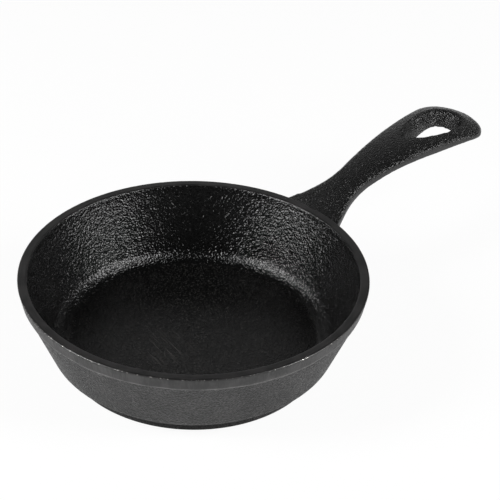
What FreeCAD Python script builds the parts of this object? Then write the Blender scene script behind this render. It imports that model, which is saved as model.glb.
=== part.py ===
import FreeCAD, Part
import math
import os
import Sketcher

doc = FreeCAD.newDocument("Skillet")
tolerance = 0.001

# Driving dimensions in millimetres. Heights are above the table unless the note says otherwise.
dimensions = [
    ("rimRadius", 82.5, "outer radius at the top of the rim"),
    ("rimThickness", 4.5, "width of the flat ground rim"),
    ("rimRounding", 0.6, "rounding of the rim's two top edges"),
    ("panHeight", 45.0, "table to the top of the rim"),
    ("bandHeight", 6.7, "height of the ground band under the rim"),
    ("bandTaper", 1.5, "how much the band's radius falls over its height"),
    ("bandStep", 0.5, "step in from the band to the cast wall"),
    ("wallFlare", 16.0, "rim radius less the outer wall's radius carried down to the underside"),
    ("wallThickness", 4.2, "wall measured level with the cooking floor"),
    ("floorThickness", 4.0, "cooking floor"),
    ("coveRadius", 9.0, "inside rounding from floor to wall"),
    ("coveLead", 1.3, "height above the cove where the floor's casting region ends"),
    ("cornerRadius", 8.0, "outside rounding from underside to wall"),
    ("footLedge", 0.2, "flat between the foot ring and the outside rounding"),
    ("footWidth", 6.5, "width of the foot ring"),
    ("footHeight", 5.0, "height of the foot ring"),
    ("footRounding", 0.5, "rounding of the foot ring's lower edges"),
    ("handleLength", 117.9, "rim to the tip of the handle"),
    ("rootInset", 8.5, "how far inside the rim the root flare starts"),
    ("rootHalfWidth", 20.4, "half width there"),
    ("waistDistance", 21.9, "rim to where the root flare meets the grip's taper"),
    ("waistHalfWidth", 8.1, "half width there before the waist is rounded"),
    ("rootRounding", 9.0, "rounding where the flare runs into the rim"),
    ("waistRounding", 40.0, "rounding of the waist"),
    ("capHeight", 10.4, "how far the end arc stands out past the shoulders"),
    ("shoulderHalfWidth", 20.4, "half width at the shoulders before they are rounded"),
    ("shoulderRounding", 14.0, "rounding of the shoulders"),
    ("holeRadius", 12.0, "round end of the hang hole, at the hole's top"),
    ("holeLength", 34.0, "centre of the hole's round end to its pointed end"),
    ("holeFlank", 52.0, "radius of the hole's two bowed flanks"),
    ("holeTipRounding", 2.0, "rounding of the hole's pointed end"),
    ("holeDraft", 17.5, "degrees by which the hole's walls close downwards"),
    ("holeLevel", 14.0, "hole's top above the rim's top"),
    ("holeDepth", 16.0, "how far down from there the hole is cut"),
    ("tipWall", 7.0, "metal between the hole's round end and the handle's tip"),
    ("rootLength", 14.5, "rim to the end of the root region"),
    ("eyeLead", 7.0, "start of the eye region to the hole's pointed end"),
    ("cutReach", 30.0, "how far the shapes that trim the handle reach past it"),
]

# The handle's section at each station: the station's place as a share of the handle's length from
# the rim; how far the section runs past the handle's straight side; its crest above the rim's top
# and how far the crown falls to its side; its belly above the rim's top and how far that rises.
stations = [
    ("station1", -0.07, 6.2, -1.6, 2.0, -11.5, 4.5),
    ("station2", 0.106, 3.1, 3.2, 1.9, -5.4, 5.6),
    ("station3", 0.276, 2.4, 8.3, 1.7, 0.8, 3.7),
    ("station4", 0.488, 2.3, 12.4, 2.7, 3.0, 5.5),
    ("station5", 0.70, 2.5, 13.4, 4.0, 1.9, 6.4),
    ("station6", 0.878, 0.7, 11.8, 4.3, 1.3, 4.8),
    ("station7", 1.03, 0.1, 5.0, 1.6, 0.3, 1.6),
]
stationFields = ["Share", "Margin", "Crest", "CrownDrop", "Belly", "BellyRise"]


def makeSheet():
    sheet = doc.addObject("Spreadsheet::Sheet", "Sizes")
    rows = [(name, size, note) for name, size, note in dimensions]
    for name, *sizes in stations:
        for field, size in zip(stationFields, sizes):
            rows.append((name + field, size, field))
    for row, (name, size, note) in enumerate(rows, start=1):
        sheet.set(f"A{row}", name)
        sheet.set(f"B{row}", str(size))
        sheet.set(f"C{row}", note)
        sheet.setAlias(f"B{row}", name)
    doc.recompute()
    return sheet


sheet = makeSheet()

# Derived sizes of the pan, written as expressions of the sheet.
rimTop = "Sizes.panHeight"
rimInner = "(Sizes.rimRadius - Sizes.rimThickness)"
bandFoot = "(Sizes.panHeight - Sizes.bandHeight)"
bandFootRadius = "(Sizes.rimRadius - Sizes.bandTaper)"
wallTopRadius = f"({bandFootRadius} - Sizes.bandStep)"
wallFootRadius = "(Sizes.rimRadius - Sizes.wallFlare)"
floorTop = "(Sizes.footHeight + Sizes.floorThickness)"
outerLean = f"(({wallTopRadius} - {wallFootRadius}) / ({bandFoot} - Sizes.footHeight))"
innerCorner = f"({wallFootRadius} + {outerLean} * Sizes.floorThickness - Sizes.wallThickness)"
innerLean = f"(({rimInner} - {innerCorner}) / ({rimTop} - {floorTop}))"

# A rounding between the floor and a leaning wall ends this far from their corner, per mm of radius.
outerReach = f"(sqrt(1 + {outerLean}^2) - {outerLean})"
innerReach = f"(sqrt(1 + {innerLean}^2) - {innerLean})"
coveHeight = f"(Sizes.coveRadius * {innerReach} / sqrt(1 + {innerLean}^2))"
wallStart = f"({floorTop} + {coveHeight} + Sizes.coveLead)"
footRadius = f"({wallFootRadius} - Sizes.cornerRadius * {outerReach} - Sizes.footLedge)"

# Places along the handle, from the pan's axis.
rootStart = "(Sizes.rimRadius - Sizes.rootInset)"
rootEnd = "(Sizes.rimRadius + Sizes.rootLength)"
waist = "(Sizes.rimRadius + Sizes.waistDistance)"
handleTip = "(Sizes.rimRadius + Sizes.handleLength)"
shoulder = f"({handleTip} - Sizes.capHeight)"
holeCentre = f"({handleTip} - Sizes.tipWall - Sizes.holeRadius)"
holePoint = f"({holeCentre} - Sizes.holeLength)"
eyeStart = f"({holePoint} - Sizes.eyeLead)"
rootSlope = f"((Sizes.rootHalfWidth - Sizes.waistHalfWidth) / ({waist} - {rootStart}))"
gripSlope = f"((Sizes.shoulderHalfWidth - Sizes.waistHalfWidth) / ({shoulder} - {waist}))"
trimFoot = f"({rimTop} - Sizes.cutReach)"
trimTop = f"({rimTop} + Sizes.cutReach)"


def outerRadiusAt(height):
    return f"({wallFootRadius} + {outerLean} * ({height} - Sizes.footHeight))"


def innerRadiusAt(height):
    return f"({innerCorner} + {innerLean} * ({height} - {floorTop}))"


def halfWidthAt(x):
    """Half width of the handle's straight-sided outline."""
    flare = f"{rootSlope} * ({waist} - {x})"
    taper = f"{gripSlope} * (min({x}; {shoulder}) - {waist})"
    return f"(Sizes.waistHalfWidth + max({flare}; {taper}))"


def number(expression):
    return float(sheet.evalExpression(expression))


def originPlane(body, role):
    return next(item for item in body.Origin.OriginFeatures if item.Role == role)


def addSketch(body, name, role, offset=None):
    sketch = body.newObject("Sketcher::SketchObject", name)
    sketch.AttachmentSupport = [(originPlane(body, role), "")]
    sketch.MapMode = "FlatFace"
    if offset:
        sketch.setExpression("AttachmentOffset.Base.z", offset)
        doc.recompute()
    return sketch


def bind(sketch, kind, *place, expression):
    index = sketch.addConstraint(Sketcher.Constraint(kind, *place, number(expression)))
    sketch.setExpression(f"Constraints[{index}]", expression)


def pin(sketch, geometry, end, x, y):
    """Hold one end of a curve at a place given as two expressions; "0" holds it on the axis."""
    if x == "0":
        sketch.addConstraint(Sketcher.Constraint("PointOnObject", geometry, end, -2))
    else:
        bind(sketch, "DistanceX", geometry, end, expression=x)
    if y == "0":
        sketch.addConstraint(Sketcher.Constraint("PointOnObject", geometry, end, -1))
    else:
        bind(sketch, "DistanceY", geometry, end, expression=y)


def join(sketch, first, second):
    sketch.addConstraint(Sketcher.Constraint("Coincident", first, 2, second, 1))


def point(x, y):
    return FreeCAD.Vector(number(x), number(y), 0)


def outlineOf(sketch, corners):
    """A closed outline of straight lines through corners given as pairs of expressions."""
    count = len(corners)
    for index, (x, y) in enumerate(corners):
        nextX, nextY = corners[(index + 1) % count]
        sketch.addGeometry(Part.LineSegment(point(x, y), point(nextX, nextY)))
    for index, (x, y) in enumerate(corners):
        join(sketch, index, (index + 1) % count)
        pin(sketch, index, 1, x, y)
    return sketch


def edgesNear(shape, test):
    return [f"Edge{i}" for i, edge in enumerate(shape.Edges, start=1) if test(edge)]


def roundEdges(body, name, radius, test):
    doc.recompute()
    base = body.Tip
    fillet = body.newObject("PartDesign::Fillet", name)
    fillet.Base = (base, edgesNear(base.Shape, test))
    fillet.setExpression("Radius", radius)
    body.Tip = fillet
    doc.recompute()
    return fillet


def circleAt(radius, height):
    """Picks the circular edge of a turned body that has this radius and height."""
    def test(edge):
        box = edge.BoundBox
        level = box.ZLength < tolerance and abs(box.ZMin - number(height)) < tolerance
        return level and abs(box.XMax - number(radius)) < tolerance
    return test


def isUpright(edge):
    box = edge.BoundBox
    return box.XLength < tolerance and box.YLength < tolerance


def uprightAt(x):
    """Picks the upright edges at a distance along the handle."""
    def test(edge):
        return isUpright(edge) and abs(edge.BoundBox.XMin - number(x)) < tolerance
    return test


def uprightOnCircle(radius):
    """Picks the upright edges on a circle about the pan's axis, but for the circle's own seam."""
    def test(edge):
        box = edge.BoundBox
        onCircle = abs(math.hypot(box.XMin, box.YMin) - number(radius)) < tolerance
        return isUpright(edge) and onCircle and abs(box.YMin) > tolerance
    return test


def turned(label, corners):
    body = doc.addObject("PartDesign::Body", label.title().replace("_", ""))
    body.Label = label
    sketch = outlineOf(addSketch(body, label + "_profile", "XZ_Plane"), corners)
    revolution = body.newObject("PartDesign::Revolution", label + "_turn")
    revolution.Profile = sketch
    revolution.ReferenceAxis = (sketch, ["V_Axis"])
    revolution.Angle = 360
    body.Tip = revolution
    return body


def makeRimBand():
    body = turned("rim_band", [
        (bandFootRadius, bandFoot),
        ("Sizes.rimRadius", rimTop),
        (rimInner, rimTop),
        (innerRadiusAt(bandFoot), bandFoot),
    ])
    outer = circleAt("Sizes.rimRadius", rimTop)
    inner = circleAt(rimInner, rimTop)
    roundEdges(body, "rim_rounding", "Sizes.rimRounding", lambda edge: outer(edge) or inner(edge))
    return body


def makeSideWall():
    return turned("side_wall", [
        (outerRadiusAt(wallStart), wallStart),
        (wallTopRadius, bandFoot),
        (innerRadiusAt(bandFoot), bandFoot),
        (innerRadiusAt(wallStart), wallStart),
    ])


def makeCookingFloor():
    body = turned("cooking_floor", [
        ("0", "Sizes.footHeight"),
        (wallFootRadius, "Sizes.footHeight"),
        (outerRadiusAt(wallStart), wallStart),
        (innerRadiusAt(wallStart), wallStart),
        (innerCorner, floorTop),
        ("0", floorTop),
    ])
    roundEdges(body, "cove", "Sizes.coveRadius", circleAt(innerCorner, floorTop))
    roundEdges(body, "corner", "Sizes.cornerRadius", circleAt(wallFootRadius, "Sizes.footHeight"))
    return body


def makeFootRing():
    inner = f"({footRadius} - Sizes.footWidth)"
    body = turned("foot_ring", [
        (inner, "0"),
        (footRadius, "0"),
        (footRadius, "Sizes.footHeight"),
        (inner, "Sizes.footHeight"),
    ])
    outerEdge = circleAt(footRadius, "0")
    innerEdge = circleAt(inner, "0")
    roundEdges(body, "foot_rounding", "Sizes.footRounding", lambda edge: outerEdge(edge) or innerEdge(edge))
    return body


def makePanEnvelope():
    """The pan's outside, filled: what the handle's root is cut back to."""
    return turned("pan_envelope", [
        ("0", "Sizes.footHeight"),
        (wallFootRadius, "Sizes.footHeight"),
        (wallTopRadius, bandFoot),
        (bandFootRadius, bandFoot),
        ("Sizes.rimRadius", rimTop),
        ("Sizes.rimRadius", trimTop),
        ("0", trimTop),
    ])


def sectionSketch(body, station):
    """Crowned top and bellied underside, closed by two upright sides."""
    place = f"(Sizes.rimRadius + Sizes.{station}Share * Sizes.handleLength)"
    sketch = addSketch(body, station + "_section", "YZ_Plane", place)
    half = f"({halfWidthAt(place)} + Sizes.{station}Margin)"
    crest = f"({rimTop} + Sizes.{station}Crest)"
    belly = f"({rimTop} + Sizes.{station}Belly)"
    top = f"({crest} - Sizes.{station}CrownDrop)"
    bottom = f"({belly} + Sizes.{station}BellyRise)"
    rightTop, leftTop = point(half, top), point(f"-{half}", top)
    rightBottom, leftBottom = point(half, bottom), point(f"-{half}", bottom)
    sketch.addGeometry(Part.LineSegment(rightBottom, rightTop))
    sketch.addGeometry(Part.Arc(rightTop, point("0", crest), leftTop))
    sketch.addGeometry(Part.LineSegment(leftTop, leftBottom))
    sketch.addGeometry(Part.Arc(leftBottom, point("0", belly), rightBottom))
    for curve in range(4):
        join(sketch, curve, (curve + 1) % 4)
    pin(sketch, 0, 1, half, bottom)
    pin(sketch, 1, 1, half, top)
    pin(sketch, 2, 1, f"-{half}", top)
    pin(sketch, 3, 1, f"-{half}", bottom)
    bind(sketch, "Radius", 1, expression=bowRadius(half, f"Sizes.{station}CrownDrop"))
    bind(sketch, "Radius", 3, expression=bowRadius(half, f"Sizes.{station}BellyRise"))
    return sketch


def bowRadius(half, height):
    """Radius of an arc from its half width and its height."""
    return f"(({half}^2 + {height}^2) / (2 * {height}))"


def makeHandleSlab():
    """The handle's rise and its crowned section, wider than the handle itself."""
    body = doc.addObject("PartDesign::Body", "HandleSlab")
    sections = [sectionSketch(body, name) for name, *_ in stations]
    doc.recompute()
    loft = body.newObject("PartDesign::AdditiveLoft", "handle_loft")
    loft.Profile = sections[0]
    loft.Sections = sections[1:]
    loft.Ruled = False
    body.Tip = loft
    return body


def pad(body, sketch, name, length):
    feature = body.newObject("PartDesign::Pad", name)
    feature.Profile = sketch
    feature.setExpression("Length", length)
    body.Tip = feature
    return feature


def planSketch(body):
    """The handle from above: root flare, taper to the shoulders and an end arc."""
    plan = addSketch(body, "handle_plan", "XY_Plane", trimFoot)
    near = [
        (rootStart, "-Sizes.rootHalfWidth"),
        (waist, "-Sizes.waistHalfWidth"),
        (shoulder, "-Sizes.shoulderHalfWidth"),
    ]
    far = [(x, y[1:]) for x, y in reversed(near)]
    corners = near + far
    for index, start in enumerate(corners):
        end = corners[(index + 1) % len(corners)]
        if start == near[-1]:
            plan.addGeometry(Part.Arc(point(*start), point(handleTip, "0"), point(*end)))
        else:
            plan.addGeometry(Part.LineSegment(point(*start), point(*end)))
    for index, corner in enumerate(corners):
        join(plan, index, (index + 1) % len(corners))
        pin(plan, index, 1, *corner)
    bind(plan, "Radius", 2, expression=bowRadius("Sizes.shoulderHalfWidth", "Sizes.capHeight"))
    return plan


def rimSketch(body):
    """The foot of the rim band, which the root flare runs into."""
    sketch = addSketch(body, "rim_circle", "XY_Plane", trimFoot)
    centre, up = FreeCAD.Vector(0, 0, 0), FreeCAD.Vector(0, 0, 1)
    sketch.addGeometry(Part.Circle(centre, up, number(bandFootRadius)))
    sketch.addConstraint(Sketcher.Constraint("Coincident", 0, 3, -1, 1))
    bind(sketch, "Radius", 0, expression=bandFootRadius)
    return sketch


def makeHandle():
    """The whole handle, which is then divided into its regions."""
    body = doc.addObject("PartDesign::Body", "Handle")
    pad(body, planSketch(body), "handle_pad", "2 * Sizes.cutReach")
    pad(body, rimSketch(body), "rim_pad", "2 * Sizes.cutReach")
    roundEdges(body, "root_rounding", "Sizes.rootRounding", uprightOnCircle(bandFootRadius))
    roundEdges(body, "waist_rounding", "Sizes.waistRounding", uprightAt(waist))
    roundEdges(body, "shoulder_rounding", "Sizes.shoulderRounding", uprightAt(shoulder))
    combine(body, "handle_section", "Common", makeHandleSlab())
    combine(body, "pan_clearance", "Cut", makePanEnvelope())
    combine(body, "hang_hole", "Cut", makeHangHole())
    return body


def combine(body, name, kind, tool):
    feature = body.newObject("PartDesign::Boolean", name)
    feature.Type = kind
    feature.setObjects([tool])
    body.Tip = feature
    doc.recompute()
    return feature


# The centre of a hole flank's circle, from where it shares a tangent with the round end's circle:
# how far it lies from the hole's point along the handle, and how far across it.
flankAlong = ("((Sizes.holeLength^2 - Sizes.holeRadius^2 + 2 * Sizes.holeFlank * Sizes.holeRadius)"
              " / (2 * Sizes.holeLength))")
flankAcross = f"sqrt(Sizes.holeFlank^2 - {flankAlong}^2)"
flankShare = "(Sizes.holeRadius / (Sizes.holeFlank - Sizes.holeRadius))"


def holeSketch(body):
    """A teardrop: a round end, two bowed flanks that run into it, and a point."""
    sketch = addSketch(body, "hole_plan", "XY_Plane", f"{rimTop} + Sizes.holeLevel")
    meetX = f"({holeCentre} + (Sizes.holeLength - {flankAlong}) * {flankShare})"
    meetY = f"({flankAcross} * {flankShare})"
    tip, upper, lower = point(holePoint, "0"), point(meetX, meetY), point(meetX, f"-{meetY}")
    end = point(f"{holeCentre} + Sizes.holeRadius", "0")
    middleX = (tip.x + upper.x) / 2
    reach = middleX - tip.x - number(flankAlong)
    bow = math.sqrt(number("Sizes.holeFlank") ** 2 - reach ** 2) - number(flankAcross)
    sketch.addGeometry(Part.Arc(lower, end, upper))
    sketch.addGeometry(Part.Arc(upper, FreeCAD.Vector(middleX, bow, 0), tip))
    sketch.addGeometry(Part.Arc(tip, FreeCAD.Vector(middleX, -bow, 0), lower))
    for curve in range(3):
        join(sketch, curve, (curve + 1) % 3)
    pin(sketch, 0, 1, meetX, f"-{meetY}")
    pin(sketch, 1, 1, meetX, meetY)
    pin(sketch, 2, 1, holePoint, "0")
    bind(sketch, "Radius", 0, expression="Sizes.holeRadius")
    bind(sketch, "Radius", 1, expression="Sizes.holeFlank")
    bind(sketch, "Radius", 2, expression="Sizes.holeFlank")
    return sketch


def makeHangHole():
    body = doc.addObject("PartDesign::Body", "HangHole")
    hole = pad(body, holeSketch(body), "hole_pad", "Sizes.holeDepth")
    hole.Reversed = True
    hole.setExpression("TaperAngle", "-Sizes.holeDraft")
    top = point(holePoint, "0")
    top.z = number(f"{rimTop} + Sizes.holeLevel")

    def downFromPoint(edge):
        touches = any(vertex.Point.distanceToPoint(top) < tolerance for vertex in edge.Vertexes)
        return touches and edge.BoundBox.ZLength > tolerance

    roundEdges(body, "hole_tip_rounding", "Sizes.holeTipRounding", downFromPoint)
    return body


def region(label, handle, start, end):
    """One stretch of the handle, between two distances from the pan's axis."""
    box = doc.addObject("Part::Box", label.title().replace("_", "") + "Range")
    box.setExpression("Length", f"{end} - {start}")
    box.setExpression("Width", "2 * Sizes.cutReach")
    box.setExpression("Height", "2 * Sizes.cutReach")
    box.setExpression("Placement.Base.x", start)
    box.setExpression("Placement.Base.y", "-Sizes.cutReach")
    box.setExpression("Placement.Base.z", trimFoot)
    piece = doc.addObject("Part::Common", label.title().replace("_", ""))
    piece.Base = handle
    piece.Tool = box
    piece.Label = label
    return piece


def checkDocument():
    for item in doc.Objects:
        if "Invalid" in item.State or "Error" in item.State:
            raise RuntimeError(f"{item.Label} failed: {item.State}")


def writeParts(pieces):
    os.makedirs("parts", exist_ok=True)
    for piece in pieces:
        shape = piece.Shape
        if shape.isNull() or not shape.isValid() or len(shape.Solids) != 1:
            raise RuntimeError(f"{piece.Label} is not one valid solid")
    for piece in pieces:
        piece.Shape.exportStep(f"parts/{piece.Label}.step")
        box = piece.Shape.optimalBoundingBox()
        print(f"{piece.Label:15s} {piece.Shape.Volume:10.0f} mm3   x {box.XMin:7.2f} to {box.XMax:7.2f}"
              f"   y {box.YMin:7.2f} to {box.YMax:7.2f}   z {box.ZMin:6.2f} to {box.ZMax:6.2f}")


pieces = [makeRimBand(), makeSideWall(), makeCookingFloor(), makeFootRing()]
handle = makeHandle()
pieces.append(region("handle_root", handle, rootStart, rootEnd))
pieces.append(region("handle_grip", handle, rootEnd, eyeStart))
pieces.append(region("hanging_eye", handle, eyeStart, f"({handleTip} + Sizes.cutReach)"))
doc.recompute()
checkDocument()
writeParts(pieces)
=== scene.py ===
import math

import bmesh
import bpy
from mathutils import Matrix, Quaternion, Vector, noise


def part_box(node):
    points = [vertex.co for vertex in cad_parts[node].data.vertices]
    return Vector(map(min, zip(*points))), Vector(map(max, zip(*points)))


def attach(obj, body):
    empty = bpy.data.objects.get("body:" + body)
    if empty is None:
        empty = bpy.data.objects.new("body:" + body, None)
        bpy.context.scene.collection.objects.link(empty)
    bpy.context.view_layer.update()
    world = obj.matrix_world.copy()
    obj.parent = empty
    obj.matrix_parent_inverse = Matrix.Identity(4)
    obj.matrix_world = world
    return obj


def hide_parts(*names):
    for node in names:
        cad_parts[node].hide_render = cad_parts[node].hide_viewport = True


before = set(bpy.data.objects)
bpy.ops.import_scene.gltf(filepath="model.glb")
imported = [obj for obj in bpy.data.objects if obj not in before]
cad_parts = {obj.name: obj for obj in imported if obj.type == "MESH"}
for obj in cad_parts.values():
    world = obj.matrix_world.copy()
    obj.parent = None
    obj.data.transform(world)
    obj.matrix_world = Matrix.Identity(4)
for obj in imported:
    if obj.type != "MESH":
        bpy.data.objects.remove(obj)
scene = bpy.context.scene
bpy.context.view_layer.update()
mm = 0.001


def linear(hexColour):
    # sRGB hex to the linear colour that a shader wants
    parts = [int(hexColour[i:i + 2], 16) / 255 for i in (1, 3, 5)]
    return tuple([p / 12.92 if p <= 0.04045 else ((p + 0.055) / 1.055) ** 2.4 for p in parts] + [1])


def addNode(tree, kind, settings=None, inputs=None):
    # one node with its settings; an input is a value, or another node's output to link
    node = tree.nodes.new(kind)
    for name, value in (settings or {}).items():
        setattr(node, name, value)
    for name, value in (inputs or {}).items():
        if isinstance(value, bpy.types.NodeSocket):
            tree.links.new(value, node.inputs[name])
        else:
            node.inputs[name].default_value = value
    return node


def ramp(value, zeroAt, oneAt):
    # 0 at one value, 1 at the other, and a straight line between them
    return min(1, max(0, (value - zeroAt) / (oneAt - zeroAt)))


# The pan is one turned profile, in mm from its axis and from the table.

pan = {
    "rimRadius": 82.48,
    "rimThickness": 4.5,
    "rimRounding": 0.6,
    "innerRimRounding": 0.9,
    "height": 45.0,
    "bandHeight": 6.7,  # ground under the rim
    "bandTaper": 1.5,
    "bandStep": 0.5,
    "bandRounding": 0.35,
    "bandWaver": 0.32,  # how far the band's foot wanders up and down
    "bandWaverLength": 9.0,
    "bandWaverReach": 2.0,  # above and below the foot
    "wallFootRadius": 66.5,
    "wallThickness": 4.2,
    "floorThickness": 4.0,
    "cove": 9.0,
    "corner": 8.0,
    "footRadius": 61.0,
    "footWidth": 6.5,
    "footHeight": 5.0,
    "footRounding": 0.5,
    "rimWear": 1.15,  # how worn the rim's outer edge is
    "innerRimWear": 0.85,
    "bandFootWear": 1.25,
    "wearReach": 0.75,  # mm from an edge over which its wear falls by 1
    "sectorSteps": 28,  # steps in one sector, which is then doubled until it closes
    "doublings": 5,
    "wallStep": 0.6,  # mm between rings on walls and roundings
    "floorStep": 4.0,  # mm between rings on the flat floor and underside
}

# What the sand mould leaves in the metal's shape, in mm; anything finer is in the material's bump.

relief = {
    "lumpSize": 1.5,
    "innerWall": 0.14,
    "outerWall": 0.04,
    "floor": 0.02,
    "ground": 0.006,
    "sink": 0.6,  # share by which lumps bite into the metal more than they stand out of it
    "groundSink": 1.5,  # the same on the ground faces, which nothing may stand out of
    "smoothTop": 1.2,  # below the rim's top, without lumps
    "smoothFade": 1.5,  # from there to the full lumps
    "footFace": 1.5,  # above the table, ground flat
    "nick": 0.10,  # along the worn edges
    "nickSize": 1.3,
    "nickFrom": 0.15,  # the noise, of -1 to 1, from which an edge is nicked
    "nickRise": 3.0,  # above the band's foot, from where on edges are nicked
    "swellSize": 19.0,
    "swell": 0.06,
    "swellSink": 0.5,
    "swellTop": 2.0,  # below the rim's top, without swell inside
    "swellFade": 4.0,  # below the band, to the full swell outside
}


def smoothShaded(name, bm):
    for face in bm.faces:
        face.smooth = True
    mesh = bpy.data.meshes.new(name)
    bm.to_mesh(mesh)
    bm.free()
    piece = bpy.data.objects.new(name, mesh)
    scene.collection.objects.link(piece)
    return piece


def panCorners():
    # from the floor's centre up the inside, over the rim and down to the foot: place, rounding
    p = pan
    bandFoot = p["height"] - p["bandHeight"]
    bandRadius = p["rimRadius"] - p["bandTaper"]
    wallTop = bandRadius - p["bandStep"]
    floorTop = p["footHeight"] + p["floorThickness"]
    lean = (wallTop - p["wallFootRadius"]) / (bandFoot - p["footHeight"])
    innerFoot = p["wallFootRadius"] + lean * p["floorThickness"] - p["wallThickness"]
    rimInner = p["rimRadius"] - p["rimThickness"]
    footInner = p["footRadius"] - p["footWidth"]
    return [
        (0, floorTop, 0),
        (innerFoot, floorTop, p["cove"]),
        (rimInner, p["height"], p["innerRimRounding"]),
        (p["rimRadius"], p["height"], p["rimRounding"]),
        (bandRadius, bandFoot, p["bandRounding"]),
        (wallTop, bandFoot, p["bandRounding"]),
        (p["wallFootRadius"], p["footHeight"], p["corner"]),
        (p["footRadius"], p["footHeight"], p["footRounding"]),
        (p["footRadius"], 0, p["footRounding"]),
        (footInner, 0, p["footRounding"]),
        (footInner, p["footHeight"], p["footRounding"]),
        (0, p["footHeight"], 0),
    ]


def roundCorner(bm, vert, radius):
    before, after = [edge.other_vert(vert).co - vert.co for edge in vert.link_edges]
    half = before.angle(after) / 2
    arc = radius * (math.pi - 2 * half)
    bmesh.ops.bevel(bm, geom=[vert], offset=radius / math.tan(half), offset_type="OFFSET", affect="VERTICES",
                    segments=max(3, math.ceil(arc / pan["wallStep"])), profile=0.5, material=-1)


def panProfile():
    bm = bmesh.new()
    corners = panCorners()
    verts = [bm.verts.new((x, 0, z)) for x, z, radius in corners]
    for start, end in zip(verts, verts[1:]):
        bm.edges.new((start, end))
    for vert, (x, z, radius) in zip(verts, corners):
        if radius:
            roundCorner(bm, vert, radius)
    for edge in bm.edges[:]:
        onAxis = min(vert.co.x for vert in edge.verts) < 0.001
        step = pan["floorStep"] if onAxis else pan["wallStep"]
        cuts = math.ceil(edge.calc_length() / step) - 1
        if cuts > 0:
            bmesh.ops.subdivide_edges(bm, edges=[edge], cuts=cuts)
    return bm


def markFinishes(bm):
    # which finish a face has, and how worn a vertex is: about 1 on a worn edge, 0 away from one
    p = pan
    bandFoot = p["height"] - p["bandHeight"]
    rimInner = p["rimRadius"] - p["rimThickness"]
    floorTop = p["footHeight"] + p["floorThickness"]
    for face in bm.faces:
        place = face.calc_center_median()
        radius = math.hypot(place.x, place.y)
        outwards = (face.normal.x * place.x + face.normal.y * place.y) / max(radius, 0.001)
        if outwards > 0.5 and bandFoot - 0.5 < place.z < p["height"] - 0.3:
            finish = "band"
        elif place.z > p["height"] - 0.35:
            finish = "rim"
        elif place.z > floorTop - 0.1 and outwards < 0.2 and radius < rimInner + 1:
            finish = "cooking"
        else:
            finish = "cast"
        face.material_index = finishes.index(finish)
    worn = bm.verts.layers.float.new("worn")
    edges = [  # on the roundings, so a little in from the corners
        (p["rimRadius"] - 0.2, p["height"] - 0.2, p["rimWear"]),
        (rimInner + 0.2, p["height"] - 0.1, p["innerRimWear"]),
        (p["rimRadius"] - p["bandTaper"], bandFoot, p["bandFootWear"]),
    ]
    for vert in bm.verts:
        radius = math.hypot(vert.co.x, vert.co.y)
        vert[worn] = max(0, *[wear - math.hypot(radius - x, vert.co.z - z) / p["wearReach"]
                              for x, z, wear in edges])


def turnedPan():
    bm = panProfile()
    sector = 2 * math.pi / 2 ** pan["doublings"]
    bmesh.ops.spin(bm, geom=bm.verts[:] + bm.edges[:], cent=(0, 0, 0), axis=(0, 0, 1), angle=sector,
                   steps=pan["sectorSteps"], use_merge=False, use_duplicate=False)
    for doubling in range(pan["doublings"]):
        made = bmesh.ops.duplicate(bm, geom=bm.verts[:] + bm.edges[:] + bm.faces[:])["geom"]
        copied = [item for item in made if isinstance(item, bmesh.types.BMVert)]
        turn = Matrix.Rotation(sector * 2 ** doubling, 3, "Z")
        bmesh.ops.rotate(bm, cent=(0, 0, 0), matrix=turn, verts=copied)
    bmesh.ops.remove_doubles(bm, verts=bm.verts, dist=0.001)
    bmesh.ops.recalc_face_normals(bm, faces=bm.faces)
    markFinishes(bm)
    return bm


def lumps(co, size):
    # lumps of one size, and smaller ones among them
    return noise.noise(co / size) + 0.5 * noise.noise(co / (size * 0.5) + Vector((7, 3, 1)))


def panRelief(co, normal):
    # mm of relief at a place on the pan
    p, r = pan, relief
    radius = math.hypot(co.x, co.y)
    bandFoot = p["height"] - p["bandHeight"]
    floorTop = p["footHeight"] + p["floorThickness"]
    smoothBelow = p["height"] - r["smoothTop"]
    inside = co.z > floorTop - 1 and normal.x * co.x + normal.y * co.y < 0.2 * radius
    if inside:
        onWall = ramp(co.z, floorTop, floorTop + p["cove"] * 0.5)
        belowRim = ramp(co.z, smoothBelow, smoothBelow - r["smoothFade"])
        height = (r["floor"] + (r["innerWall"] - r["floor"]) * onWall) * belowRim
        sink = r["sink"]
        slow = 1 if co.z < p["height"] - r["swellTop"] else 0
    elif co.z > bandFoot - 0.3 or co.z < r["footFace"]:  # the band, the rim and the foot ring's face
        height, sink, slow = r["ground"], r["groundSink"], 0
    else:
        height, sink, slow = r["outerWall"], r["sink"], ramp(co.z, bandFoot, bandFoot - r["swellFade"])
    wave = noise.noise(co / r["swellSize"])
    return height * (lumps(co, r["lumpSize"]) - sink) + slow * r["swell"] * (wave - r["swellSink"])


def displace(bm, reliefAt):
    bm.normal_update()
    moves = [vert.normal * reliefAt(vert.co, vert.normal) for vert in bm.verts]
    for vert, move in zip(bm.verts, moves):
        vert.co += move


def nickEdges(bm):
    # worn edges lose a little metal here and there, and the band's foot isn't quite level
    worn = bm.verts.layers.float["worn"]
    foot = pan["height"] - pan["bandHeight"]
    insideBand = pan["rimRadius"] - 3
    for vert in bm.verts:
        inward = Vector((-vert.co.x, -vert.co.y, 0)).normalized() - Vector((0, 0, 0.5))
        bite = noise.noise(vert.co / relief["nickSize"]) - relief["nickFrom"]
        if vert.co.z > foot + relief["nickRise"] and bite > 0:
            vert.co += inward * relief["nick"] * vert[worn] * bite
        near = max(0, 1 - abs(vert.co.z - foot) / pan["bandWaverReach"])
        if near and math.hypot(vert.co.x, vert.co.y) > insideBand:
            waver = noise.noise(Vector((vert.co.x, vert.co.y, 5)) / pan["bandWaverLength"])
            vert.co.z += near * pan["bandWaver"] * waver


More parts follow.
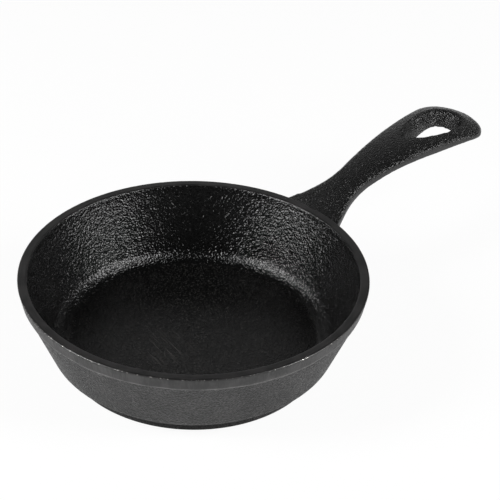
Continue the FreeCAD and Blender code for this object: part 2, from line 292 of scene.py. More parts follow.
def stretchOf(source, axis, ringed, low, high):
    # what lies between two places along an axis, closed where it is cut, in metres
    bm = source.copy()
    for place, keepBeyond in ((low, True), (high, False)):
        if place is None:
            continue
        geom = bm.verts[:] + bm.edges[:] + bm.faces[:]
        bmesh.ops.bisect_plane(bm, geom=geom, dist=0.0001, plane_co=axis * place, plane_no=axis,
                               clear_inner=keepBeyond, clear_outer=not keepBeyond)
        cut = [edge for edge in bm.edges if edge.is_boundary]
        if ringed:
            bmesh.ops.bridge_loops(bm, edges=cut)
        else:
            bmesh.ops.holes_fill(bm, edges=cut, sides=0)
        for edge in cut:
            edge.smooth = False
    bmesh.ops.scale(bm, vec=(mm, mm, mm), verts=bm.verts)
    bmesh.ops.recalc_face_normals(bm, faces=bm.faces)
    return bm


def divide(whole, axis, ringed, stretches):
    # one piece for each stretch, in the place of its CAD node
    pieces = {}
    for name, (node, low, high) in stretches.items():
        pieces[name] = smoothShaded(name, stretchOf(whole, axis, ringed, low, high))
        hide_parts(node)
    whole.free()
    print({name: len(piece.data.polygons) for name, piece in pieces.items()})
    return pieces


def makePan():
    print("turning the pan")
    whole = turnedPan()
    displace(whole, panRelief)
    nickEdges(whole)
    underBand = pan["height"] - pan["bandHeight"] - 0.8  # low enough to keep the band's foot whole
    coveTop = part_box("cooking_floor")[1].z / mm
    footTop = pan["footHeight"] - pan["footRounding"]
    return divide(whole, Vector((0, 0, 1)), True, {
        "rimBand": ("rim_band", underBand, None),
        "sideWall": ("side_wall", coveTop, underBand),
        "cookingFloor": ("cooking_floor", footTop, coveTop),
        "footRing": ("foot_ring", None, footTop),
    })


# The handle starts from the solids' own shape: remeshed evenly, its edges rubbed round, then given
# the mould's relief. Its measures are in mm, as the pan's are.

handle = {
    "voxel": 0.45,
    "tuck": 2.0,  # how far the root runs into the wall, so that no groove shows
    "rubs": 8,  # passes of smoothing that round the edges
    "edgeRubs": 42,  # more of them along the top edges
    "edgeReach": 5.5,  # in from the flanks
    "edgesStart": 5.0,  # past the rim, where the top edges begin
    "lipRubs": 12,  # and round the top of the hang hole
    "lipHeight": 51.0,  # above the table, where the hole's lip begins
    "lipReach": 2.5,  # round the hole
    "holeNarrow": (151.0, 2.5),  # from the pan's axis to the narrow end's centre, its radius
    "holeWide": (181.4, 11.2),  # the same for the round end
    "holeFill": 1.3,  # the rubbing opened the hole by this much, so its wall is filled again
    "fillReach": 2.0,
    "holeShadeEnd": 170.0,  # from the pan's axis
    "holeShadeFade": 8.0,
    "slopes": (0.30, 0.55),  # a face that looks up or down less than this is flank, more than that top
    "lumpSlopes": (0.35, 0.65),  # the same for how lumpy it is
    "lumpSize": 2.2,
    "lump": 0.07,
    "sideLump": 0.012,
    "sink": 0.8,
    "swellSize": 16.0,
    "swell": 0.08,
    "swellSink": 0.6,
}


def solidHandle():
    # the three regions as one closed shell, in mm, without the faces where they meet
    bm = bmesh.new()
    for node in ("handle_root", "handle_grip", "hanging_eye"):
        bm.from_mesh(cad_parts[node].data)
    same = 0.02 * mm
    seams = [corner.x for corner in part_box("handle_grip")]
    inner = [face for face in bm.faces
             if any(all(abs(vert.co.x - seam) < same for vert in face.verts) for seam in seams)]
    bmesh.ops.delete(bm, geom=inner, context="FACES")
    bmesh.ops.remove_doubles(bm, verts=bm.verts, dist=same)
    bmesh.ops.scale(bm, vec=(1 / mm, 1 / mm, 1 / mm), verts=bm.verts)
    rim = pan["rimRadius"] + 0.1
    for vert in bm.verts:
        if math.hypot(vert.co.x, vert.co.y) < rim:
            vert.co.x -= handle["tuck"]
    return bm


def evenShell(bm):
    shell = smoothShaded("shell", bm)
    remesh = shell.modifiers.new("even", "REMESH")
    remesh.mode = "VOXEL"
    remesh.voxel_size = handle["voxel"]
    graph = bpy.context.evaluated_depsgraph_get()
    even = bmesh.new()
    even.from_mesh(shell.evaluated_get(graph).to_mesh())
    bpy.data.objects.remove(shell)
    return even


def handleRelief(co, normal):
    # mm of relief at a place on the handle, less on its ground flanks
    h = handle
    height = h["sideLump"] + (h["lump"] - h["sideLump"]) * ramp(abs(normal.z), *h["lumpSlopes"])
    wave = noise.noise(co / h["swellSize"])
    return height * (lumps(co, h["lumpSize"]) - h["sink"]) + h["swell"] * (wave - h["swellSink"])


def rub(shell, verts, passes):
    for rubbing in range(passes):
        bmesh.ops.smooth_vert(shell, verts=verts, factor=0.5,
                              use_axis_x=True, use_axis_y=True, use_axis_z=True)


def roundTopEdges(shell):
    # the top edges are well rounded; the flanks stay flat under them
    shell.normal_update()
    halfWidths = {}  # for each mm along the handle
    for vert in shell.verts:
        along = round(vert.co.x)
        halfWidths[along] = max(halfWidths.get(along, 0), abs(vert.co.y))
    start = pan["rimRadius"] + handle["edgesStart"]
    edge = [vert for vert in shell.verts if vert.normal.z > 0.05 and vert.co.x > start
            and halfWidths[round(vert.co.x)] - abs(vert.co.y) < handle["edgeReach"]]
    rub(shell, edge, handle["edgeRubs"])


def beyondHole(co):
    # mm from the hang hole's outline, less than 0 inside it
    (start, small), (end, large) = handle["holeNarrow"], handle["holeWide"]
    along = ramp(co.x, start, end)
    return math.hypot(co.x - start - along * (end - start), co.y) - small - along * (large - small)


def softenLip(shell):
    # the mould's core left the top of the hang hole well rounded
    h = handle
    lip = [vert for vert in shell.verts if vert.co.z > h["lipHeight"] and beyondHole(vert.co) < h["lipReach"]]
    rub(shell, lip, h["lipRubs"])
    shell.normal_update()
    wall = [vert for vert in shell.verts if beyondHole(vert.co) < h["fillReach"]]
    for vert in wall:
        fill = h["holeFill"] * min(1, h["fillReach"] - beyondHole(vert.co))
        vert.co += Vector((vert.normal.x, vert.normal.y, 0)) * fill


def markSides(shell):
    # side: 1 on the ground flanks, 0 on the pebbled top, belly and hole; the second attribute is painted
    # shade, 1 on the steep wall of the hole's narrow end
    shell.normal_update()
    side = shell.verts.layers.float.new("side")
    holeShade = shell.verts.layers.float.new("holeShade")
    holeShadeEnd = handle["holeShadeEnd"]
    flank, top = handle["slopes"]
    for vert in shell.verts:
        if beyondHole(vert.co) < handle["lipReach"]:
            steep = ramp(vert.normal.z, 0.9, 0.6)
            vert[holeShade] = steep * ramp(vert.co.x, holeShadeEnd, holeShadeEnd - handle["holeShadeFade"])
        else:
            vert[side] = ramp(abs(vert.normal.z), top, flank)


def makeHandle():
    print("rubbing the handle round")
    shell = evenShell(solidHandle())
    rub(shell, shell.verts, handle["rubs"])
    roundTopEdges(shell)
    softenLip(shell)
    markSides(shell)
    displace(shell, handleRelief)
    rootEnd, eyeStart = [corner.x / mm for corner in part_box("handle_grip")]
    return divide(shell, Vector((1, 0, 0)), False, {
        "handleRoot": ("handle_root", None, rootEnd),
        "handleGrip": ("handle_grip", rootEnd, eyeStart),
        "hangingEye": ("hanging_eye", eyeStart, None),
    })


# Finishes. The whole pan is grey cast iron, seasoned: oil baked on in thin coats. It is near black and
# the film follows the metal under it, so what tells one surface from the next is the metal's grain.
# The sand's own grain is 0.2 to 0.4 mm, too fine to show, so it is drawn at 0.8 to 0.9 mm.
# Heights are mm of bump over a noise's whole range, of which the middle third shows. Pairs of noise
# values say where an effect begins and where it is full.

finishes = ["cast", "cooking", "rim", "band"]  # the pan's material slots, in this order

castSkin = {  # outside and underside: fine sand, matt, with a few pits where sand broke away; painted shade darkens the pits and the grain's hollows
    "colour": "#2b2a2a", "veiled": "#090909", "veilSize": 14.0,
    "mottleNoise": (0.36, 0.64),
    "pitShadeColour": "#070707", "pitSpacing": 1.5, "pitRadius": 0.38, "pitDepth": 0.14, "pitNoise": (0.42, 0.62),
    "grainSize": 0.9, "grainHeight": 0.84, "hollowShadeNoise": (0.56, 0.36), "hollowShadeShare": 0.85,
    "roughness": 0.44, "roughnessSpread": 0.12,
    "underShadeColour": "#040404", "underShadeRoughness": 0.9,  # painted shade under the wall's rounding and on the foot, darkest round the foot
    "underShadeThin": 0.35, "underShadeRing": (46.0, 57.0),  # mm from the axis
    "underShadeStarts": 9.0, "underShadeFull": 6.8, "footShadeFull": 4.0, "footLitBelow": 1.2,  # mm above the table
}

cookingSkin = {  # inside: coarse sand on the wall, a finer and flatter grain on the floor, more oil
    "colour": "#0a0a0a", "veiled": "#050505", "veilSize": 15.0,
    "wallGrain": 0.85, "wallHeight": 0.42, "floorGrain": 0.8, "floorHeight": 0.26,
    "wallRoughness": 0.195, "floorRoughness": 0.24, "roughnessSpread": 0.05,
    "crownHighlightColour": "#343332", "crownHighlightNoise": (0.56, 0.70),  # painted highlight on the floor's highest grains
    "wallStarts": 9.05, "wallTakesOver": 9.8,  # mm above the table
    "glintColour": "#4e4d4c", "glintSpacing": 1.7, "glintRadius": 0.27, "glintNoise": (0.60, 0.66),
    "scratchColour": "#413f3d", "scratchWidth": 0.8, "scratchLength": 17.0, "scratchTurn": 76.7,
    "scratchNoise": (0.57, 0.70), "scratchPlace": (-17, 2, 9), "scratchReach": 22.0,  # mm
}

groundSkins = {  # ground with a belt before it was seasoned: flat, satin, lined by the grit
    "rim": {
        "name": "groundSeasonedRim", "colour": "#242323", "veiled": "#151515", "veilSize": 9.0,
        "roughness": 0.37, "roughnessSpread": 0.08,
        "lineSpacing": 0.9, "lineLength": 9.0, "lineHeight": 0.036, "upright": False,
        "footLine": 0.0,
    },
    "band": {
        "name": "groundSeasonedBand", "colour": "#333232", "veiled": "#161616", "veilSize": 7.0,
        "roughness": 0.42, "roughnessSpread": 0.08,
        "lineSpacing": 1.3, "lineLength": 9.0, "lineHeight": 0.24, "upright": True,
        "footLine": 0.8,  # how strongly the painted highlight line along the band's foot shows
    },
}
edgeWearAndHighlight = {  # bare iron where the seasoning is knocked off, and a painted highlight line along the band's foot
    "chipColour": "#a3a19e", "chipSize": 1.0, "chipNoise": (0.512, 0.612),
    "lineColour": "#737271", "lineTop": 2.7, "lineFull": 1.7,  # mm above the band's foot
    "lineNoise": (0.62, 0.42), "lineLeast": 0.2,  # it is never fainter than this
}

handleSkin = {  # pebbled on top as it left the sand, its parting line ground smooth along both sides
    "colour": "#161616", "veiled": "#0d0d0d", "veilSize": 16.0,
    "grainSize": 0.85, "grainHeight": 0.81, "roughness": 0.23, "roughnessSpread": 0.06,
    "holeShadeColour": "#040404", "holeShadeRoughness": 0.65,  # painted shade in the hang hole's narrow end
    "sideColour": "#222222", "sideRoughness": 0.44, "sideHeight": 0.075,
}


def startMaterial(name, veilSize):
    # every skin has a veil, the slow change of shade from one thin coat of oil to the next
    material = bpy.data.materials.new(name)
    material.use_nodes = True
    tree = material.node_tree
    place = addNode(tree, "ShaderNodeTexCoord").outputs["Object"]
    veil = addNode(tree, "ShaderNodeTexNoise", {}, {
        "Vector": place, "Scale": 1 / (veilSize * mm), "Detail": 4.0})
    return material, tree, place, veil


def finishMaterial(tree, colour, roughness, height):
    # links the three outputs to the shader; the height is in mm
    shader = tree.nodes["Principled BSDF"]
    bump = addNode(tree, "ShaderNodeBump", {}, {"Height": height, "Distance": mm})
    tree.links.new(colour, shader.inputs["Base Color"])
    tree.links.new(roughness, shader.inputs["Roughness"])
    tree.links.new(bump.outputs["Normal"], shader.inputs["Normal"])


def grainRoughness(tree, grain, roughness, spread):
    # high grains are rubbed smoother than the hollows between them; a noise is mostly 0.3 to 0.7
    return addNode(tree, "ShaderNodeMapRange", {}, {
        "Value": grain.outputs["Fac"], "From Min": 0.3, "From Max": 0.7,
        "To Min": roughness + spread, "To Max": roughness - spread})


def axisDistance(tree, axes):
    # how far a place is from the pan's axis
    level = addNode(tree, "ShaderNodeCombineXYZ", {}, {"X": axes.outputs["X"], "Y": axes.outputs["Y"]})
    return addNode(tree, "ShaderNodeVectorMath", {"operation": "LENGTH"}, {0: level.outputs["Vector"]})


def castMaterial():
    s = castSkin
    material, tree, place, veil = startMaterial("seasonedCastIron", s["veilSize"])
    grain = addNode(tree, "ShaderNodeTexNoise", {}, {
        "Vector": place, "Scale": 1 / (s["grainSize"] * mm), "Detail": 1.0, "Roughness": 0.4})
    cell = addNode(tree, "ShaderNodeTexVoronoi", {}, {"Vector": place, "Scale": 1 / (s["pitSpacing"] * mm)})
    reach = s["pitRadius"] / s["pitSpacing"]
    hollow = addNode(tree, "ShaderNodeMapRange", {"interpolation_type": "SMOOTHSTEP"}, {
        "Value": cell.outputs["Distance"], "From Min": reach, "From Max": reach * 0.3})
    chosen = addNode(tree, "ShaderNodeMapRange", {}, {
        "Value": cell.outputs["Color"], "From Min": s["pitNoise"][0], "From Max": s["pitNoise"][1]})
    pit = addNode(tree, "ShaderNodeMath", {"operation": "MULTIPLY"}, {
        0: hollow.outputs["Result"], 1: chosen.outputs["Result"]})
    mottle = addNode(tree, "ShaderNodeMapRange", {}, {
        "Value": veil.outputs["Fac"], "From Min": s["mottleNoise"][0], "From Max": s["mottleNoise"][1]})
    skin = addNode(tree, "ShaderNodeMix", {"data_type": "RGBA"}, {
        0: mottle.outputs["Result"], 6: linear(s["colour"]), 7: linear(s["veiled"])})
    # painted shade: the grain's hollows and the pits are darkened in the colour
    between = addNode(tree, "ShaderNodeMapRange", {}, {
        "Value": grain.outputs["Fac"], "To Max": s["hollowShadeShare"],
        "From Min": s["hollowShadeNoise"][0], "From Max": s["hollowShadeNoise"][1]})
    cavityShade = addNode(tree, "ShaderNodeMath", {"operation": "MAXIMUM"}, {
        0: pit.outputs["Value"], 1: between.outputs["Result"]})
    cavityShaded = addNode(tree, "ShaderNodeMix", {"data_type": "RGBA"}, {
        0: cavityShade.outputs["Value"], 6: skin.outputs[2], 7: linear(s["pitShadeColour"])})

    # painted shade under the wall's rounding and on the foot's upper part: deepest round the foot, fainter
    # towards the middle of the underside, and fading out low on the foot, where light from the table reaches
    # it
    axes = addNode(tree, "ShaderNodeSeparateXYZ", {}, {"Vector": place})
    under = addNode(tree, "ShaderNodeMapRange", {}, {
        "Value": axes.outputs["Z"], "From Min": s["underShadeStarts"] * mm, "From Max": s["underShadeFull"] * mm})
    aboveFoot = addNode(tree, "ShaderNodeMapRange", {}, {
        "Value": axes.outputs["Z"], "From Min": s["footLitBelow"] * mm, "From Max": s["footShadeFull"] * mm})
    ring = addNode(tree, "ShaderNodeMapRange", {}, {
        "Value": axisDistance(tree, axes).outputs["Value"], "To Min": s["underShadeThin"],
        "From Min": s["underShadeRing"][0] * mm, "From Max": s["underShadeRing"][1] * mm})
    shadeDepth = addNode(tree, "ShaderNodeMath", {"operation": "MULTIPLY"}, {
        0: under.outputs["Result"], 1: ring.outputs["Result"]})
    underShade = addNode(tree, "ShaderNodeMath", {"operation": "MULTIPLY"}, {
        0: shadeDepth.outputs["Value"], 1: aboveFoot.outputs["Result"]})
    # the painted shade darkens the colour here and raises the roughness below
    underShaded = addNode(tree, "ShaderNodeMix", {"data_type": "RGBA"}, {
        0: underShade.outputs["Value"], 6: cavityShaded.outputs[2], 7: linear(s["underShadeColour"])})
    rough = grainRoughness(tree, grain, s["roughness"], s["roughnessSpread"])
    underShadedRough = addNode(tree, "ShaderNodeMix", {"data_type": "FLOAT"}, {
        0: underShade.outputs["Value"], 2: rough.outputs["Result"], 3: s["underShadeRoughness"]})
    sand = addNode(tree, "ShaderNodeMath", {"operation": "MULTIPLY"}, {
        0: grain.outputs["Fac"], 1: s["grainHeight"]})
    height = addNode(tree, "ShaderNodeMath", {"operation": "MULTIPLY_ADD"}, {
        0: pit.outputs["Value"], 1: -s["pitDepth"], 2: sand.outputs["Value"]})
    finishMaterial(tree, underShaded.outputs[2], underShadedRough.outputs[0], height.outputs["Value"])
    return material


def cookingMaterial():
    s = cookingSkin
    material, tree, place, veil = startMaterial("seasonedCookingIron", s["veilSize"])
    axes = addNode(tree, "ShaderNodeSeparateXYZ", {}, {"Vector": place})
    climb = addNode(tree, "ShaderNodeMapRange", {"interpolation_type": "SMOOTHSTEP"}, {
        "Value": axes.outputs["Z"], "From Min": s["wallStarts"] * mm, "From Max": s["wallTakesOver"] * mm})
    wall = addNode(tree, "ShaderNodeTexNoise", {}, {
        "Vector": place, "Scale": 1 / (s["wallGrain"] * mm), "Detail": 1.0, "Roughness": 0.5})
    floor = addNode(tree, "ShaderNodeTexNoise", {}, {
        "Vector": place, "Scale": 1 / (s["floorGrain"] * mm), "Detail": 1.0, "Roughness": 0.5})

    # painted glints as small light specks, and long faint scratches from a spatula in one patch of the floor
    cell = addNode(tree, "ShaderNodeTexVoronoi", {}, {"Vector": place, "Scale": 1 / (s["glintSpacing"] * mm)})
    reach = s["glintRadius"] / s["glintSpacing"]
    dot = addNode(tree, "ShaderNodeMapRange", {}, {
        "Value": cell.outputs["Distance"], "From Min": reach, "From Max": reach * 0.4})
    kept = addNode(tree, "ShaderNodeMapRange", {}, {
        "Value": cell.outputs["Color"], "From Min": s["glintNoise"][0], "From Max": s["glintNoise"][1]})
    glint = addNode(tree, "ShaderNodeMath", {"operation": "MULTIPLY"}, {
        0: dot.outputs["Result"], 1: kept.outputs["Result"]})
    along = addNode(tree, "ShaderNodeMapping", {"vector_type": "TEXTURE"}, {
        "Vector": place, "Rotation": (0, 0, math.radians(s["scratchTurn"])),
        "Scale": (s["scratchLength"] * mm, s["scratchWidth"] * mm, 1)})
    streak = addNode(tree, "ShaderNodeTexNoise", {}, {
        "Vector": along.outputs["Vector"], "Scale": 1.0, "Detail": 1.0})
    drawn = addNode(tree, "ShaderNodeMapRange", {}, {
        "Value": streak.outputs["Fac"], "From Min": s["scratchNoise"][0], "From Max": s["scratchNoise"][1]})
    away = addNode(tree, "ShaderNodeVectorMath", {"operation": "DISTANCE"}, {
        0: place, 1: tuple(side * mm for side in s["scratchPlace"])})
    patch = addNode(tree, "ShaderNodeMapRange", {"interpolation_type": "SMOOTHSTEP"}, {
        "Value": away.outputs["Value"], "From Min": s["scratchReach"] * mm, "From Max": 0.0})
    onFloor = addNode(tree, "ShaderNodeMapRange", {}, {
        "Value": climb.outputs["Result"], "From Min": 1.0, "From Max": 0.0})
    scratch = addNode(tree, "ShaderNodeMath", {"operation": "MULTIPLY"}, {
        0: drawn.outputs["Result"], 1: patch.outputs["Result"]})
    floorScratch = addNode(tree, "ShaderNodeMath", {"operation": "MULTIPLY"}, {
        0: scratch.outputs["Value"], 1: onFloor.outputs["Result"]})

    skin = addNode(tree, "ShaderNodeMix", {"data_type": "RGBA"}, {
        0: veil.outputs["Fac"], 6: linear(s["colour"]), 7: linear(s["veiled"])})
    scratched = addNode(tree, "ShaderNodeMix", {"data_type": "RGBA"}, {
        0: floorScratch.outputs["Value"], 6: skin.outputs[2], 7: linear(s["scratchColour"])})
    # painted glints: small light specks in the colour
    glinted = addNode(tree, "ShaderNodeMix", {"data_type": "RGBA"}, {
        0: glint.outputs["Value"], 6: scratched.outputs[2], 7: linear(s["glintColour"])})
    # painted highlight: the tops of the floor's grain are lightened in the colour
    crownHighlight = addNode(tree, "ShaderNodeMapRange", {}, {
        "Value": floor.outputs["Fac"], "From Min": s["crownHighlightNoise"][0], "From Max": s["crownHighlightNoise"][1]})
    crownHighlightMask = addNode(tree, "ShaderNodeMath", {"operation": "MULTIPLY"}, {
        0: crownHighlight.outputs["Result"], 1: onFloor.outputs["Result"]})
    crownHighlighted = addNode(tree, "ShaderNodeMix", {"data_type": "RGBA"}, {
        0: crownHighlightMask.outputs["Value"], 6: glinted.outputs[2], 7: linear(s["crownHighlightColour"])})

    wallRough = grainRoughness(tree, wall, s["wallRoughness"], s["roughnessSpread"])
    floorRough = grainRoughness(tree, floor, s["floorRoughness"], s["roughnessSpread"])
    rough = addNode(tree, "ShaderNodeMix", {"data_type": "FLOAT"}, {
        0: climb.outputs["Result"], 2: floorRough.outputs["Result"], 3: wallRough.outputs["Result"]})
    wallHeight = addNode(tree, "ShaderNodeMath", {"operation": "MULTIPLY"}, {
        0: wall.outputs["Fac"], 1: s["wallHeight"]})
    floorHeight = addNode(tree, "ShaderNodeMath", {"operation": "MULTIPLY"}, {
        0: floor.outputs["Fac"], 1: s["floorHeight"]})
    height = addNode(tree, "ShaderNodeMix", {"data_type": "FLOAT"}, {
        0: climb.outputs["Result"], 2: floorHeight.outputs["Value"], 3: wallHeight.outputs["Value"]})
    finishMaterial(tree, crownHighlighted.outputs[2], rough.outputs[0], height.outputs[0])
    return material


def groundMaterial(s):
    material, tree, place, veil = startMaterial(s["name"], s["veilSize"])
    axes = addNode(tree, "ShaderNodeSeparateXYZ", {}, {"Vector": place})

    # grinding lines in the ring's own directions: round it, across it and up it
    turn = addNode(tree, "ShaderNodeTexGradient", {"gradient_type": "RADIAL"}, {"Vector": place})
    ring = addNode(tree, "ShaderNodeCombineXYZ", {}, {
        "X": turn.outputs["Fac"], "Y": axisDistance(tree, axes).outputs["Value"], "Z": axes.outputs["Z"]})
    girth = 2 * math.pi * pan["rimRadius"]
    roundStep, acrossStep = s["lineLength"], s["lineSpacing"]
    if s["upright"]:
        roundStep, acrossStep = acrossStep, roundStep
    lines = addNode(tree, "ShaderNodeMapping", {}, {
        "Vector": ring.outputs["Vector"],
        "Scale": (girth / roundStep, 1 / (acrossStep * mm), 1 / (acrossStep * mm))})
    marks = addNode(tree, "ShaderNodeTexNoise", {}, {
        "Vector": lines.outputs["Vector"], "Scale": 1.0, "Detail": 3.0, "Roughness": 0.6})
    streaks = addNode(tree, "ShaderNodeMath", {"operation": "ADD"}, {
        0: veil.outputs["Fac"], 1: marks.outputs["Fac"]})
    # the two noises together lie round 1
    shade = addNode(tree, "ShaderNodeMapRange", {}, {
        "Value": streaks.outputs["Value"], "From Min": 0.88, "From Max": 1.12})
    skin = addNode(tree, "ShaderNodeMix", {"data_type": "RGBA"}, {
        0: shade.outputs["Result"], 6: linear(s["colour"]), 7: linear(s["veiled"])})

    # a painted highlight line along the band's foot, where its lower edge catches light from the table;
    # knocked edges show bare grey iron in short runs
    wear = edgeWearAndHighlight
    bandFoot = pan["height"] - pan["bandHeight"]
    worn = addNode(tree, "ShaderNodeAttribute", {"attribute_name": "worn"})
    low = addNode(tree, "ShaderNodeMapRange", {}, {
        "Value": axes.outputs["Z"], "To Max": s["footLine"],
        "From Min": (bandFoot + wear["lineTop"]) * mm, "From Max": (bandFoot + wear["lineFull"]) * mm})
    broken = addNode(tree, "ShaderNodeMapRange", {}, {
        "Value": veil.outputs["Fac"], "To Min": wear["lineLeast"],
        "From Min": wear["lineNoise"][0], "From Max": wear["lineNoise"][1]})
    shine = addNode(tree, "ShaderNodeMath", {"operation": "MULTIPLY"}, {
        0: low.outputs["Result"], 1: broken.outputs["Result"]})
    line = addNode(tree, "ShaderNodeMath", {"operation": "MULTIPLY"}, {
        0: shine.outputs["Value"], 1: worn.outputs["Fac"]})
    # painted highlight: the line along the band's foot is lightened in the colour
    lined = addNode(tree, "ShaderNodeMix", {"data_type": "RGBA"}, {
        0: line.outputs["Value"], 6: skin.outputs[2], 7: linear(wear["lineColour"])})
    ragged = addNode(tree, "ShaderNodeTexNoise", {}, {
        "Vector": place, "Scale": 1 / (wear["chipSize"] * mm), "Detail": 2.0})
    edge = addNode(tree, "ShaderNodeMath", {"operation": "MULTIPLY"}, {
        0: worn.outputs["Fac"], 1: ragged.outputs["Fac"]})
    bare = addNode(tree, "ShaderNodeMapRange", {}, {
        "Value": edge.outputs["Value"], "From Min": wear["chipNoise"][0], "From Max": wear["chipNoise"][1]})
    colour = addNode(tree, "ShaderNodeMix", {"data_type": "RGBA"}, {
        0: bare.outputs["Result"], 6: lined.outputs[2], 7: linear(wear["chipColour"])})
    tree.links.new(bare.outputs["Result"], tree.nodes["Principled BSDF"].inputs["Metallic"])
    rough = grainRoughness(tree, marks, s["roughness"], s["roughnessSpread"])
    height = addNode(tree, "ShaderNodeMath", {"operation": "MULTIPLY"}, {
        0: marks.outputs["Fac"], 1: s["lineHeight"]})
    finishMaterial(tree, colour.outputs[2], rough.outputs["Result"], height.outputs["Value"])
    return material


def handleMaterial():
    s = handleSkin
    material, tree, place, veil = startMaterial("seasonedHandleIron", s["veilSize"])
    side = addNode(tree, "ShaderNodeAttribute", {"attribute_name": "side"})
    holeShade = addNode(tree, "ShaderNodeAttribute", {"attribute_name": "holeShade"})
    grain = addNode(tree, "ShaderNodeTexNoise", {}, {
        "Vector": place, "Scale": 1 / (s["grainSize"] * mm), "Detail": 1.0, "Roughness": 0.5})
    skin = addNode(tree, "ShaderNodeMix", {"data_type": "RGBA"}, {
        0: veil.outputs["Fac"], 6: linear(s["colour"]), 7: linear(s["veiled"])})
    ground = addNode(tree, "ShaderNodeMix", {"data_type": "RGBA"}, {
        0: side.outputs["Fac"], 6: skin.outputs[2], 7: linear(s["sideColour"])})
    # painted shade darkens and roughens the hang hole's narrow end
    colour = addNode(tree, "ShaderNodeMix", {"data_type": "RGBA"}, {
        0: holeShade.outputs["Fac"], 6: ground.outputs[2], 7: linear(s["holeShadeColour"])})
    topRough = grainRoughness(tree, grain, s["roughness"], s["roughnessSpread"])
    groundRough = addNode(tree, "ShaderNodeMix", {"data_type": "FLOAT"}, {
        0: side.outputs["Fac"], 2: topRough.outputs["Result"], 3: s["sideRoughness"]})
    rough = addNode(tree, "ShaderNodeMix", {"data_type": "FLOAT"}, {
        0: holeShade.outputs["Fac"], 2: groundRough.outputs[0], 3: s["holeShadeRoughness"]})
    reach = addNode(tree, "ShaderNodeMix", {"data_type": "FLOAT"}, {
        0: side.outputs["Fac"], 2: s["grainHeight"], 3: s["sideHeight"]})
    height = addNode(tree, "ShaderNodeMath", {"operation": "MULTIPLY"}, {
        0: grain.outputs["Fac"], 1: reach.outputs[0]})
    finishMaterial(tree, colour.outputs[2], rough.outputs[0], height.outputs["Value"])
    return material


# Camera and studio

view = {
    "aim": (32.93, -4.65, 45.0),  # mm, a point on the optical axis
    "distance": 957.1,  # mm from there
    "azimuth": 43.1,  # degrees from the handle's direction, seen from above
    "elevation": 33.695,
    "roll": 1.737,
    "lens": 144.58,
}

studio = {
    "world": 0.015,
    "tableColour": "#fdfdfd",
    "seenGlow": 0.93,  # share of the table's whiteness that takes no shadow, as the camera sees it
    "mirroredGlow": 0.22,  # the same in the iron's reflections
    "tableReach": 2.2,  # metres from the pan to the foot of the sweep round it
    "sweepRun": 0.5,
    "sweepHeight": 0.75,
    "sweepRounding": 0.4,
    "lampAim": 0.03,  # metres above the table
    "lamps": {
        # degrees from the camera's look, elevation, distance, width, height (m), watts
        "leftBox": (108, 32, 1.1, 0.36, 0.60, 12.4),
        "rightBox": (-108, 32, 1.1, 0.36, 0.60, 10.8),
        "backPanel": (12, 29, 2.4, 2.2, 0.8, 2.2),
    },
}


def lookDirection(azimuth, elevation):
    turn, rise = math.radians(azimuth), math.radians(elevation)
    return Vector((math.cos(rise) * math.cos(turn), math.cos(rise) * math.sin(turn), -math.sin(rise)))


def makeCamera():
    look = lookDirection(view["azimuth"], view["elevation"])
    camera = bpy.data.objects.new("camera", bpy.data.cameras.new("camera"))
    scene.collection.objects.link(camera)
    camera.data.lens = view["lens"]
    camera.data.clip_start = 0.01
    camera.location = (Vector(view["aim"]) - look * view["distance"]) * mm
    camera.rotation_mode = "QUATERNION"
    roll = Quaternion((0, 0, 1), math.radians(view["roll"]))
    camera.rotation_quaternion = look.to_track_quat("-Z", "Y") @ roll
    scene.camera = camera


def makeStudio():
    scene.view_settings.view_transform = "Standard"
    world = bpy.data.worlds.new("studio")
    world.use_nodes = True
    background = world.node_tree.nodes["Background"]
    background.inputs["Color"].default_value = (1, 1, 1, 1)
    background.inputs["Strength"].default_value = studio["world"]
    scene.world = world
    for name, (azimuth, elevation, distance, width, height, watts) in studio["lamps"].items():
        lamp = bpy.data.lights.new(name, "AREA")
        lamp.shape = "RECTANGLE"
        lamp.size, lamp.size_y = width, height
        lamp.energy = watts
        holder = bpy.data.objects.new(name, lamp)
        scene.collection.objects.link(holder)
        look = lookDirection(view["azimuth"] + azimuth + 180, elevation)
        holder.location = Vector((0, 0, studio["lampAim"])) - look * distance
        holder.rotation_mode = "QUATERNION"
        holder.rotation_quaternion = look.to_track_quat("-Z", "Y")


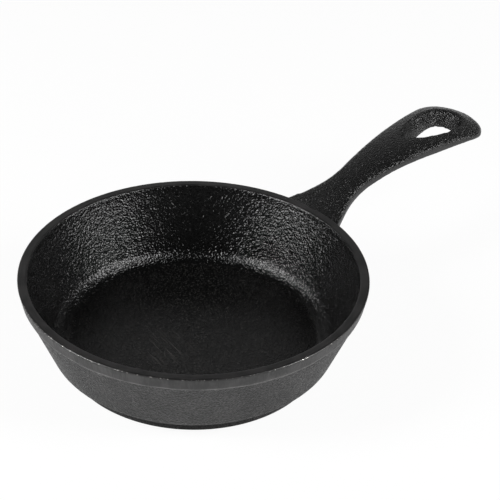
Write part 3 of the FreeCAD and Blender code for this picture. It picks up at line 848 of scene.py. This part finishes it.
def makeTable():
    # a round white table that sweeps up at its edge
    reach = studio["tableReach"]
    sweepTop = (reach + studio["sweepRun"], 0, studio["sweepHeight"])
    bm = bmesh.new()
    verts = [bm.verts.new(place) for place in ((0, 0, 0), (reach, 0, 0), sweepTop)]
    for start, end in zip(verts, verts[1:]):
        bm.edges.new((start, end))
    bmesh.ops.bevel(bm, geom=[verts[1]], offset=studio["sweepRounding"], offset_type="OFFSET",
                    affect="VERTICES", segments=12, profile=0.5, material=-1)
    bmesh.ops.spin(bm, geom=bm.verts[:] + bm.edges[:], cent=(0, 0, 0), axis=(0, 0, 1), angle=2 * math.pi,
                   steps=96, use_merge=True, use_duplicate=False)
    bmesh.ops.remove_doubles(bm, verts=bm.verts, dist=0.0001)
    bmesh.ops.recalc_face_normals(bm, faces=bm.faces)
    table = smoothShaded("table", bm)
    material = bpy.data.materials.new("whiteTable")
    material.use_nodes = True
    tree = material.node_tree
    tree.nodes.remove(tree.nodes["Principled BSDF"])
    rays = addNode(tree, "ShaderNodeLightPath")
    mirrored = addNode(tree, "ShaderNodeMath", {"operation": "MAXIMUM"}, {
        0: rays.outputs["Is Glossy Ray"], 1: rays.outputs["Is Transmission Ray"]})
    inMirror = addNode(tree, "ShaderNodeMath", {"operation": "MULTIPLY"}, {
        0: mirrored.outputs["Value"], 1: studio["mirroredGlow"]})
    share = addNode(tree, "ShaderNodeMath", {"operation": "MULTIPLY_ADD"}, {
        0: rays.outputs["Is Camera Ray"], 1: studio["seenGlow"], 2: inMirror.outputs["Value"]})
    matt = addNode(tree, "ShaderNodeBsdfDiffuse", {}, {"Color": linear(studio["tableColour"])})
    glow = addNode(tree, "ShaderNodeEmission", {}, {"Strength": 1.0})
    mix = addNode(tree, "ShaderNodeMixShader", {}, {
        0: share.outputs["Value"], 1: matt.outputs["BSDF"], 2: glow.outputs["Emission"]})
    tree.links.new(mix.outputs["Shader"], tree.nodes["Material Output"].inputs["Surface"])
    table.data.materials.append(material)


print("camera, lamps and table")
makeCamera()
makeStudio()
makeTable()
panPieces = makePan()
handlePieces = makeHandle()
print("materials")
skins = {
    "cast": castMaterial(),
    "cooking": cookingMaterial(),
    "rim": groundMaterial(groundSkins["rim"]),
    "band": groundMaterial(groundSkins["band"]),
}
handleIron = handleMaterial()
for piece in panPieces.values():
    for finish in finishes:
        piece.data.materials.append(skins[finish])
for piece in handlePieces.values():
    piece.data.materials.append(handleIron)

for name, piece in (panPieces | handlePieces).items():
    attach(piece, "root")
    check = bmesh.new()
    check.from_mesh(piece.data)
    print(name, "open edges", sum(1 for edge in check.edges if not edge.is_manifold),
          "triangles", sum(len(face.verts) - 2 for face in check.faces))
    check.free()
